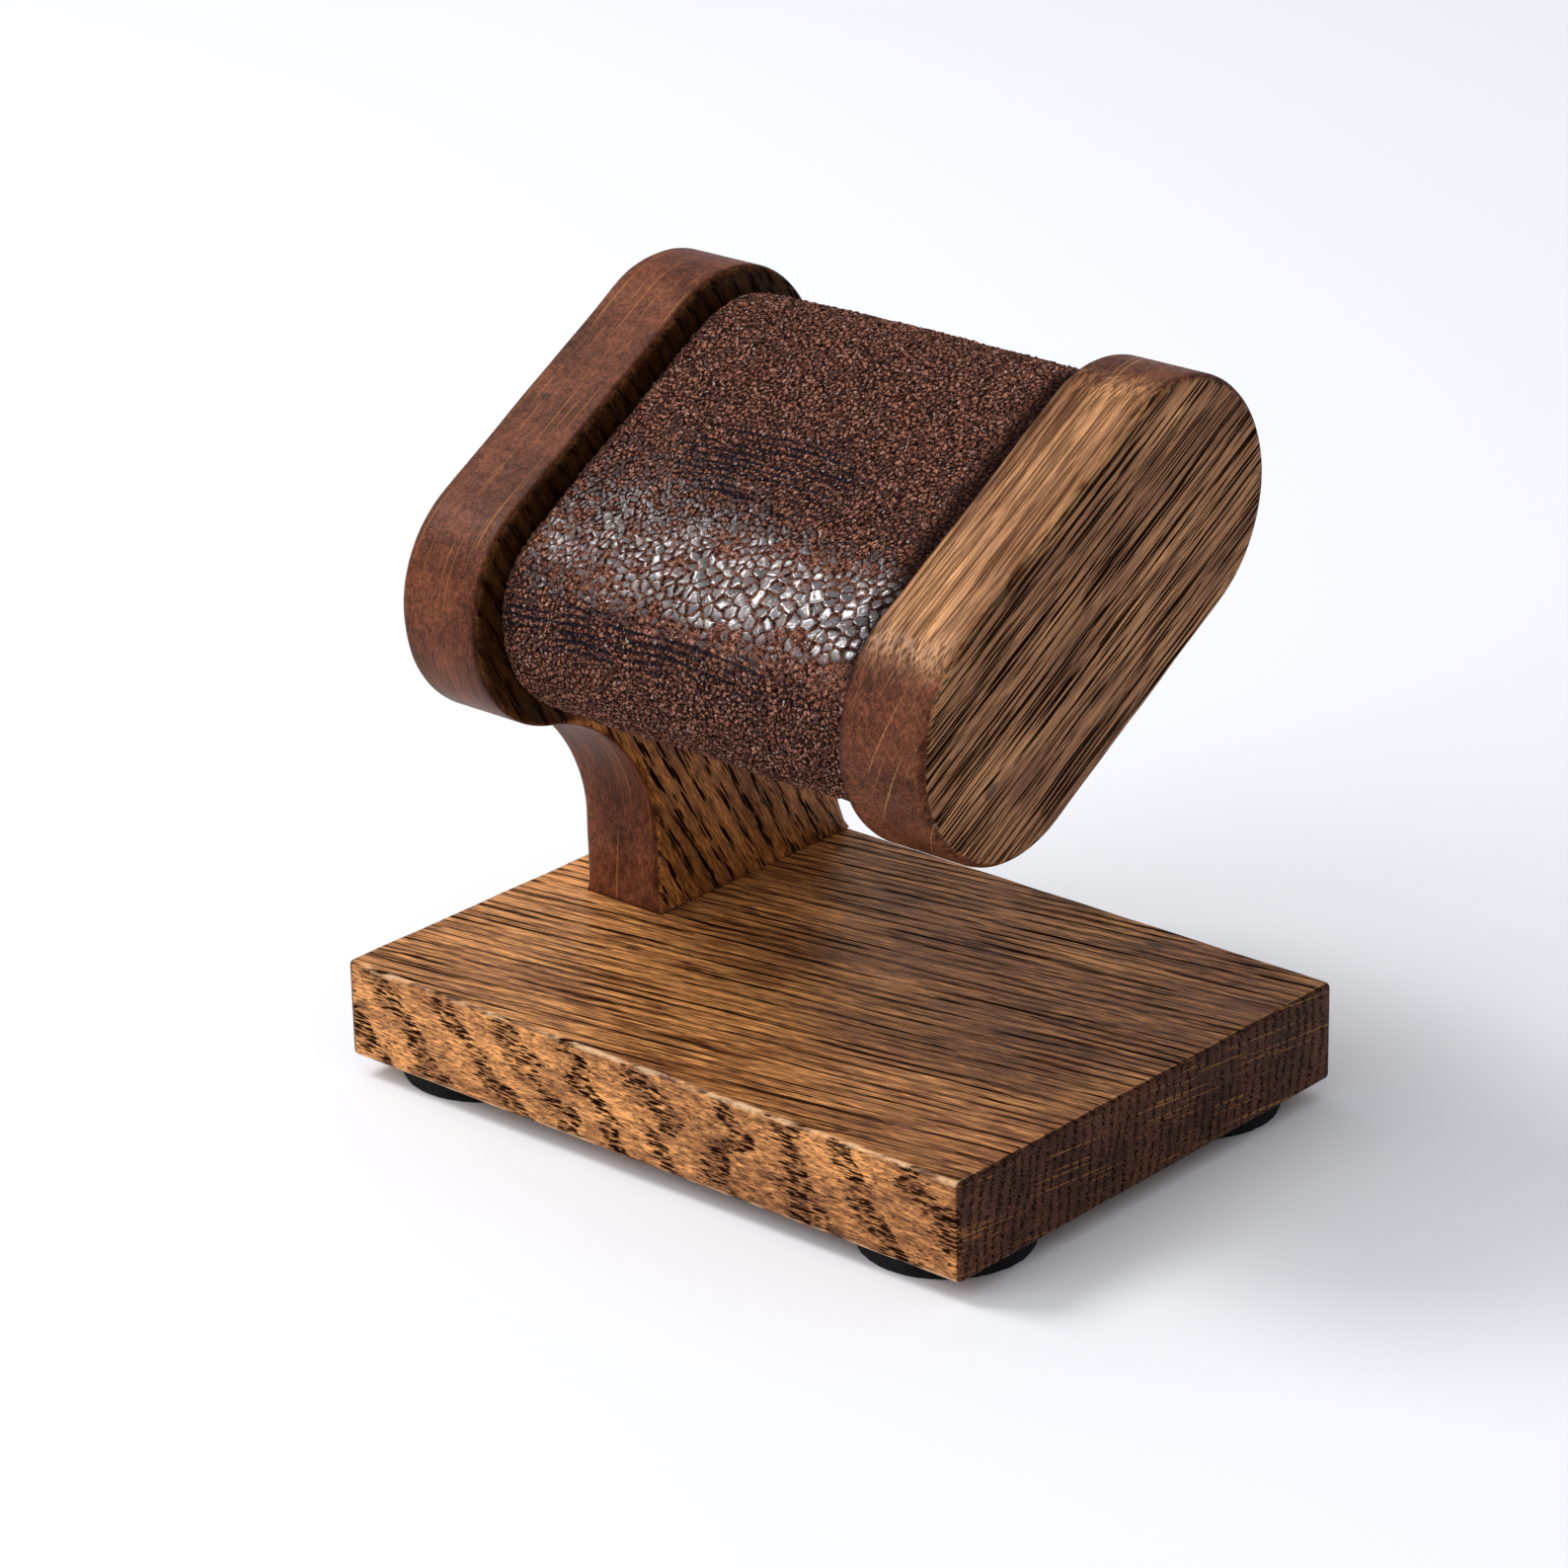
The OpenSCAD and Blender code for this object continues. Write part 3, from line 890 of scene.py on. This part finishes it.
def oak(name, grain, growth, seed, ring, light, mid, end_tone, end_pores, edge_wear_highlight, sway=1.6, vessel=1.0,
        pore=1.0, evenness=0.0, streaks=1.0, painted_falloff=0.0, end_faces="grain", rim_pores=1.0):
    """Stained open-pored oak. grain is the way its fibres run and growth the way its rings grew.

    ring and sway are a ring's width and how far it strays, in mm. vessel and pore scale the length and the
    width of the pores. evenness 0 keeps them in the early wood of each ring, 1 spreads them over the whole
    ring. streaks scales the contrast of the fibres. fade is how much darker the wood is painted along the
    grain, from the slab's middle to its end: painted light, lighter at the left end and darker at the right.
    end_faces says which faces take the darker end tone: those across the grain, or the whole rim of the
    board. end_pores and rim_pores say how much of the pores shows on the faces with the end tone and on the
    rim, and rubbed how much paler the edges are painted, partly bare wood where the colour has worn off and
    partly a painted highlight.
    """
    s = Shade(name)
    wood = Fibres(s, grain, growth, seed)
    early = early_wood(s, wood, seed, ring, sway)
    slit = oak_pores(s, wood, early, vessel, pore, evenness)

    # Tone: fine fibres, streaks and broad patches.
    fibre = s.noise(wood.stretched(5, 0.36, 0.36, 2.1), detail=3.0, roughness=0.75)
    streak = s.noise(wood.stretched(22, 1.1, 1.1, 7.7), detail=3.0, roughness=0.6)
    patch = s.noise(wood.stretched(26, 9, 9, 4.4), detail=3.0)
    level = s.times_plus(fibre, 1.20 * streaks, s.times(streak, 0.45 * streaks))
    # Keeps the mean tone where it was when streaks is not 1.
    steady = 0.83 * (1 - streaks)
    level = s.times_plus(patch, 0.75, s.math("SUBTRACT", level, 0.66 - steady))
    level = s.times_plus(early, -0.07, level)
    # Painted light: the slab is painted lighter towards its left end and darker towards its right, as light
    # falling off across it.
    end_to_end = s.dot(s.place, wood.axis / (PAINTED_FALLOFF_WAY * MM))
    level = s.times_plus(end_to_end, -painted_falloff, level)
    colour = s.ramp(level, [(0.20, OAK_DARK), (0.43, mid), (0.62, light), (0.80, scaled(light, 1.90))])

    # End grain: darker, with pale rays that run the way the tree grew.
    ray = s.span(s.noise(wood.stretched(80, 22, 0.40, 8.8), detail=1.0), 0.64, 0.68)
    normal = s.add("ShaderNodeNewGeometry").outputs["Normal"]
    sideways = s.math("ABSOLUTE", s.dot(normal, (1.0, 0.0, 0.0)))
    if end_faces == "rim":
        end = s.span(sideways, 0.85, 0.45)
    else:
        facing = s.math("ABSOLUTE", s.dot(normal, wood.axis))
        end = s.span(facing, 0.16, 0.46)
    end_level = s.times_plus(fibre, 1.3, s.times(patch, 0.8))
    end_level = s.times_plus(streak, 0.7, s.math("SUBTRACT", end_level, 0.75))
    end_stops = [(0.40, scaled(end_tone, 0.45)), (0.62, end_tone), (0.90, scaled(end_tone, 2.1))]
    end_colour = s.ramp(end_level, end_stops)
    end_colour = s.mix(s.times(ray, 0.7), end_colour, scaled(light, 0.75))
    colour = s.mix(s.times(end, 0.96), colour, end_colour)

    # Dirt in the pores, less of it on the end grain and on the rim.
    slit = s.times(slit, s.span(end, 0.0, 1.0, 1.0, end_pores))
    slit = s.times(slit, s.span(sideways, 0.3, 0.8, rim_pores, 1.0))
    colour = s.mix(slit, colour, PORE_DIRT)

    # A few dark spots with a ragged rim.
    ragged = s.noise(wood.stretched(1.6, 0.35, 0.35, 9.1), detail=2.0)
    spot = s.cells(wood.stretched(17, 9, 9, 2.9))
    spot_mask = s.span(s.times_plus(ragged, 0.05, spot.outputs["Distance"]), 0.15, 0.09)
    colour = s.mix(s.times(spot_mask, 0.7), colour, scaled(OAK_DARK, 0.5))

    # Edges: stain gathers beside them, and in places they are painted paler: partly bare wood where the
    # colour is worn off, partly a painted highlight along the rounding.
    edge = s.attribute("edge")
    rub_noise = s.noise(wood.stretched(5, 2.0, 2.0, 6.2), detail=4.0)
    wear_highlight_mask = s.times(s.math("SUBTRACT", edge, end, clamp=True), s.span(rub_noise, 0.44, 0.60))
    gather = s.times(edge, s.span(rub_noise, 0.50, 0.36))
    colour = s.mix(s.times(wear_highlight_mask, edge_wear_highlight), colour, WORN_EDGE_HIGHLIGHT)
    colour = s.mix(s.times(gather, 0.65), colour, scaled(end_tone, 0.4))

    # The faces beside the roll are darkened where it meets them: partly grime from its leather, partly
    # painted shade between the parts.
    roll_grime_shade = s.attribute("roll_grime_shade")
    colour = s.mix(s.times(roll_grime_shade, 0.92), colour, ROLL_GRIME_SHADE)

    height = s.times_plus(slit, -1.0, s.times(fibre, 0.45))
    height = s.times_plus(streak, 0.15, height)
    bump = s.bump(height, 0.14, 0.9)
    roughness = s.times_plus(fibre, 0.30, 0.24)
    roughness = s.times_plus(slit, 0.30, roughness, clamp=True)
    sheen = s.times(s.span(slit, 0.0, 0.8, 0.16, 0.0), s.span(roll_grime_shade, 0.0, 1.0, 1.0, 0.2))
    sheen = s.times(sheen, s.span(end, 0.0, 1.0, 1.0, 0.50))
    s.put(s.shader.inputs["Specular IOR Level"], sheen)
    return s.finish(colour, roughness, bump, Specular_IOR_Level=0.12)


# What lies over the leather's rust-brown ground: its own dark blots and creases and its raw edge, painted
# shade in the cracks and beside the right cheek, and painted glints.
CRACK_SHADE_DARK = (0.006, 0.002, 0.0015)
BLOT_DARK = (0.018, 0.010, 0.011)
CREASE_DARK = (0.008, 0.007, 0.012)
CHEEK_SHADE_DARK = (0.006, 0.003, 0.003)
RAW_EDGE = (0.22, 0.11, 0.06)
PAINTED_GLINT = (0.55, 0.43, 0.40)


def leather():
    """Worn waxed leather: near-black glossy scales over a rust-brown napped ground."""
    s = Shade("crackled_leather")
    where = s.place_mm()
    plateau, wide, gloss, tone = [s.attribute(key) for key in ("plateau", "wide", "gloss", "tone")]
    crease, raw, cheek_shade = [s.attribute(key) for key in ("crease", "raw", "cheek_shade")]

    nap = s.noise(where, 1.6, 2.0, 0.65)
    hair = s.noise(where, 3.6, 2.0, 0.7, 0.6)
    blot = s.noise(where, 0.30, 3.0, 0.6)
    grain = s.times_plus(hair, 0.45, s.times(nap, 0.55))

    rust_stops = [(0.43, (0.010, 0.003, 0.002)), (0.51, (0.200, 0.070, 0.042)), (0.61, (0.520, 0.250, 0.170))]
    rust = s.ramp(grain, rust_stops)
    wax_stops = [(0.1, (0.009, 0.006, 0.009)), (0.6, (0.026, 0.012, 0.014)), (1.0, (0.060, 0.022, 0.018))]
    wax = s.ramp(tone, wax_stops)
    lot = s.times_plus(tone, 0.50, s.times(nap, 0.60))
    lot = s.times_plus(gloss, 0.62, lot)
    waxed = s.span(lot, 0.70, 0.76)
    cover = s.times(s.span(plateau, 0.30, 0.65), waxed)
    cover = s.times(cover, s.span(hair, 0.64, 0.56, 0.30, 1.0))
    colour = s.mix(cover, rust, wax)
    # Painted shade: the cracks between the scales are darkened as if shaded inside them, less so between the
    # wide scales.
    crack_shade = s.times(s.span(plateau, 0.80, 0.15), s.span(wide, 0.0, 0.6, 0.92, 0.42))
    colour = s.mix(crack_shade, colour, CRACK_SHADE_DARK)
    colour = s.mix(s.times(s.span(blot, 0.45, 0.70), 0.30), colour, BLOT_DARK)
    colour = s.mix(s.times(crease, 0.90), colour, CREASE_DARK)
    # Painted shade: the leather is darkened in a band with a ragged edge beside the right cheek.
    cheek_shade_mask = s.span(s.times_plus(nap, 2.0, s.math("SUBTRACT", cheek_shade, 1.0)), 0.15, 0.85)
    colour = s.mix(s.times(cheek_shade_mask, 0.86), colour, CHEEK_SHADE_DARK)
    colour = s.mix(s.times(raw, 0.55), colour, RAW_EDGE)
    # Painted highlights: small pale specks stand in for glints on the fibres, left out of the painted shade.
    glint_free = s.span(s.math("ADD", crack_shade, cheek_shade_mask), 0.3, 0.0)
    painted_glint = s.times(s.span(s.noise(where, 2.1, 1.0, 0.5, 0.3), 0.64, 0.71), glint_free)
    colour = s.mix(s.times(painted_glint, 0.8), colour, PAINTED_GLINT)

    shiny = s.times(cover, s.span(gloss, 0.05, 0.75, 0.09, 1.0, kind="LINEAR"))
    shiny = s.times(shiny, s.span(crease, 0.0, 1.0, 1.0, 0.3))
    roughness = s.span(shiny, 0.0, 1.0, 0.75, 0.30, kind="LINEAR")
    roughness = s.times_plus(hair, 0.14, s.math("SUBTRACT", roughness, 0.06), clamp=True)
    height = s.times_plus(nap, 0.9, s.times(hair, 0.5))
    normal = s.bump(height, 0.50, s.span(shiny, 0.0, 1.0, 1.0, 0.08, kind="LINEAR"))
    sheen = s.span(shiny, 0.0, 0.7, 0.04, 1.0, kind="LINEAR")
    sheen = s.times(sheen, s.span(cheek_shade_mask, 0.0, 1.0, 1.0, 0.2))
    s.put(s.shader.inputs["Specular IOR Level"], sheen)
    s.put(s.shader.inputs["Coat Weight"], s.span(shiny, 0.25, 0.9, 0.0, 0.68))
    return s.finish(colour, roughness, normal, Specular_IOR_Level=0.3, Coat_Roughness=0.20, Coat_IOR=1.7)


def bare_wood(name, light, dark, grain):
    """Unstained straight-grained wood for the hidden parts."""
    s = Shade(name)
    l_axis = unit(grain)
    side = unit(np.cross(l_axis, (0.3, 0.5, 0.8)))
    other = np.cross(l_axis, side)
    where = s.combine(
        s.dot(s.place, l_axis / (11 * MM)),
        s.dot(s.place, side / (0.8 * MM)),
        s.dot(s.place, other / (0.8 * MM)),
    )
    grain_lines = s.noise(where, 1.0, 4.0, 0.6)
    broad = s.noise(where, 0.22, 2.0, 0.5)
    level = s.times_plus(broad, 0.6, s.times(grain_lines, 0.5))
    colour = s.ramp(level, [(0.35, dark), (0.7, light)])
    roughness = s.span(grain_lines, 0.3, 0.7, 0.55, 0.75)
    return s.finish(colour, roughness, s.bump(grain_lines, 0.05, 0.6), Specular_IOR_Level=0.3)


def felt():
    """Pressed black felt: matted fibres with a dull sheen."""
    s = Shade("black_felt")
    where = s.place_mm()
    mat = s.noise(where, 3.2, 5.0, 0.75, 1.2)
    clump = s.noise(where, 0.8, 2.0, 0.5)
    level = s.times_plus(clump, 0.4, s.times(mat, 0.6))
    stops = [(0.32, (0.002, 0.002, 0.003)), (0.55, (0.005, 0.005, 0.006)), (0.75, (0.022, 0.021, 0.023))]
    colour = s.ramp(level, stops)
    roughness = s.span(mat, 0.3, 0.7, 0.85, 0.98)
    bump = s.bump(mat, 0.25, 0.9)
    return s.finish(
        colour, roughness, bump, Specular_IOR_Level=0.1, Sheen_Weight=0.03, Sheen_Roughness=0.6)


def wadding():
    """White polyester wadding."""
    s = Shade("white_wadding")
    where = s.place_mm()
    fluff = s.noise(where, 1.6, 5.0, 0.7, 1.5)
    colour = s.ramp(fluff, [(0.3, (0.62, 0.61, 0.57)), (0.7, (0.86, 0.85, 0.82))])
    roughness = s.span(fluff, 0.3, 0.7, 0.85, 0.98)
    return s.finish(colour, roughness, s.bump(fluff, 0.3, 0.8), Specular_IOR_Level=0.2)


def zinc():
    """Zinc-plated steel with faint yellow passivation."""
    s = Shade("zinc_steel")
    where = s.place_mm()
    scratch = s.noise(where, 5.0, 4.0, 0.6)
    haze = s.noise(where, 0.5, 2.0, 0.5)
    colour = s.ramp(haze, [(0.35, (0.55, 0.52, 0.44)), (0.65, (0.72, 0.69, 0.60))])
    roughness = s.span(scratch, 0.3, 0.7, 0.24, 0.48)
    return s.finish(colour, roughness, s.bump(scratch, 0.01, 0.5), Metallic=1.0)


def paper_floor():
    """A plain, nearly white sheet."""
    s = Shade("pale_floor")
    tint = s.noise(s.place, 2.0, 1.0, 0.5)
    colour = s.ramp(tint, [(0.3, (0.820, 0.820, 0.835)), (0.7, (0.830, 0.830, 0.845))])
    return s.finish(colour, 0.7, None, Specular_IOR_Level=0.2)


# ---------------------------------------------------------------- build

def dress(piece, material, slot, *nodes):
    """Gives a piece its material and its place on the stand, and hides the CAD nodes it stands for."""
    piece.data.materials.clear()
    piece.data.materials.append(material)
    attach(piece, "root")
    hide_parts(*nodes)
    return piece


def paint_node(node, material):
    """A carried-over CAD node keeps its shape and takes a procedural material."""
    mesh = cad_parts[node].data
    mesh.materials.clear()
    mesh.materials.append(material)


def build():
    # Each board was sawn at its own small angle to the tree, which sets how its faces are figured.
    slab_oak = oak(
        "oak_slab", grain=(1.0, 0.155, 0.0), growth=(-0.155, 1.0, -0.10), seed=1,
        ring=1.9, sway=4.2, pore=0.70, streaks=1.3, painted_falloff=0.06, end_pores=0.95, edge_wear_highlight=0.65,
        light=(0.43, 0.184, 0.057), mid=(0.235, 0.086, 0.025), end_tone=(0.050, 0.018, 0.010),
    )
    leg_oak = oak(
        "oak_leg", grain=(0.10, *ACROSS), growth=(0.0, *ALONG), seed=2,
        ring=2.9, end_faces="rim", end_pores=0.12, edge_wear_highlight=0.05,
        light=(0.39, 0.150, 0.038), mid=(0.200, 0.064, 0.014), end_tone=(0.086, 0.025, 0.012),
    )
    end_oak = oak(
        "oak_end", grain=(0.0, *ALONG), growth=(0.50, *ACROSS), seed=3,
        ring=1.25, sway=2.0, vessel=0.75, pore=0.80, evenness=0.80, streaks=0.55,
        end_pores=0.45, rim_pores=0.60, edge_wear_highlight=0.10,
        light=(0.41, 0.193, 0.078), mid=(0.200, 0.078, 0.028), end_tone=(0.088, 0.026, 0.012),
    )
    dress(make_slab(), slab_oak, "oak_base", "base_slab")
    leg = make_cheek("leg_and_left_cheek", leg_outline(), LEG_LOW, LEG_HIGH, seed=23,
                     foot=BASE_TOP, roll_side=1)
    dress(leg, leg_oak, "oak_leg", "leg_cheek")
    end = make_cheek("right_cheek", stadium_outline(), END_LOW, END_HIGH, seed=37, roll_side=-1)
    dress(end, end_oak, "oak_end", "end_cheek")

    fine, coarse = ((0.2, 0.5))
    cover_ends = (COVER_LOW[0], COVER_HIGH[0])
    cover = tube("leather_roll", COVER_R, WADDING_R, cover_ends, fine, coarse, leather_shape, seed=5)
    dress(cover, leather(), "leather", "leather_cover")
    wadding_ends = (WADDING_LOW[0] + WADDING_GAP, WADDING_HIGH[0] - WADDING_GAP)
    wadding_in = WADDING_R - WADDING_T
    soft = tube("wadding_wrap", WADDING_R, wadding_in, wadding_ends, 1.0, 1.0, wadding_shape, seed=6)
    dress(soft, wadding(), "wadding", "roll_wadding")

    pad_felt = felt()
    for i, place in enumerate(("front_left", "front_right", "back_left", "back_right")):
        node = "felt_pad_" + place
        pad = dress(make_pad("felt_disc_" + place, node, 60 + i), pad_felt, "felt", node)

    paint_node("roll_core", bare_wood("bare_softwood", (0.66, 0.48, 0.29), (0.48, 0.32, 0.17), (1, 0, 0)))
    beech = bare_wood("bare_beech", (0.72, 0.53, 0.34), (0.56, 0.38, 0.22), (1, 0, 0))
    for side in ("left", "right"):
        for place in ("front", "back"):
            paint_node(f"dowel_{side}_{place}", beech)
    steel = zinc()
    for place in ("front", "back"):
        paint_node("leg_screw_" + place, steel)


# ---------------------------------------------------------------- stage

# The camera as it was solved from the photo. AIM and DISTANCE are in metres, LENS in mm.
AZIMUTH = math.radians(41.93)
ELEVATION = math.radians(22.35)
ROLL = math.radians(-1.23)
AIM = Vector((-2.5, -7.4, 48.7)) * MM
DISTANCE = 0.785
LENS = 128.2


def view_axes():
    """The camera's right, up and back directions before it is rolled."""
    level = math.cos(ELEVATION)
    back = Vector((math.sin(AZIMUTH) * level, -math.cos(AZIMUTH) * level, math.sin(ELEVATION)))
    right = (-back).cross(Vector((0, 0, 1))).normalized()
    up = right.cross(-back)
    return right, up, back


def place_camera():
    right, up, back = view_axes()
    turned_right = math.cos(ROLL) * right + math.sin(ROLL) * up
    turned_up = -math.sin(ROLL) * right + math.cos(ROLL) * up
    data = bpy.data.cameras.new("camera")
    data.lens = LENS
    data.sensor_width = 36
    camera = bpy.data.objects.new("camera", data)
    turn = Matrix((turned_right, turned_up, back)).transposed().to_4x4()
    camera.matrix_world = Matrix.Translation(AIM + back * DISTANCE) @ turn
    bpy.context.scene.collection.objects.link(camera)
    bpy.context.scene.camera = camera


def soft_light(name, direction, distance, size, power):
    """A square softbox that faces the roll from that direction."""
    data = bpy.data.lights.new(name, "AREA")
    data.shape = "SQUARE"
    data.size = size
    data.energy = power
    lamp = bpy.data.objects.new(name, data)
    away = Vector(direction).normalized()
    lamp.location = Vector((0, 0, 0.06)) + away * distance
    lamp.rotation_euler = away.to_track_quat("Z", "Y").to_euler()
    bpy.context.scene.collection.objects.link(lamp)


def room_light():
    """A pale room that is brighter at the front left than at the back right."""
    world = bpy.data.worlds.new("room")
    world.use_nodes = True
    tree = world.node_tree
    direction = tree.nodes.new("ShaderNodeTexCoord").outputs["Generated"]
    towards = tree.nodes.new("ShaderNodeVectorMath")
    towards.operation = "DOT_PRODUCT"
    towards.inputs[1].default_value = Vector((-0.40, -0.72, 0.57)).normalized()
    tree.links.new(direction, towards.inputs[0])
    strength = tree.nodes.new("ShaderNodeMapRange")
    for key, value in (("From Min", -0.6), ("From Max", 1.0), ("To Min", 0.34), ("To Max", 1.00)):
        strength.inputs[key].default_value = value
    tree.links.new(towards.outputs["Value"], strength.inputs["Value"])
    background = tree.nodes["Background"]
    background.inputs["Color"].default_value = (0.93, 0.95, 1.0, 1.0)
    tree.links.new(strength.outputs["Result"], background.inputs["Strength"])
    return world


def set_stage():
    bpy.ops.mesh.primitive_plane_add(size=8)
    floor = bpy.context.object
    floor.name = "floor"
    floor.data.materials.append(paper_floor())
    soft_light("key", (-0.60, -0.26, 0.76), distance=1.4, size=0.48, power=11.0)
    soft_light("front_fill", (-0.30, -0.76, 0.58), distance=1.7, size=1.0, power=8.0)
    bpy.context.scene.world = room_light()
    bpy.context.scene.view_settings.view_transform = "Standard"


place_camera()
build()
set_stage()
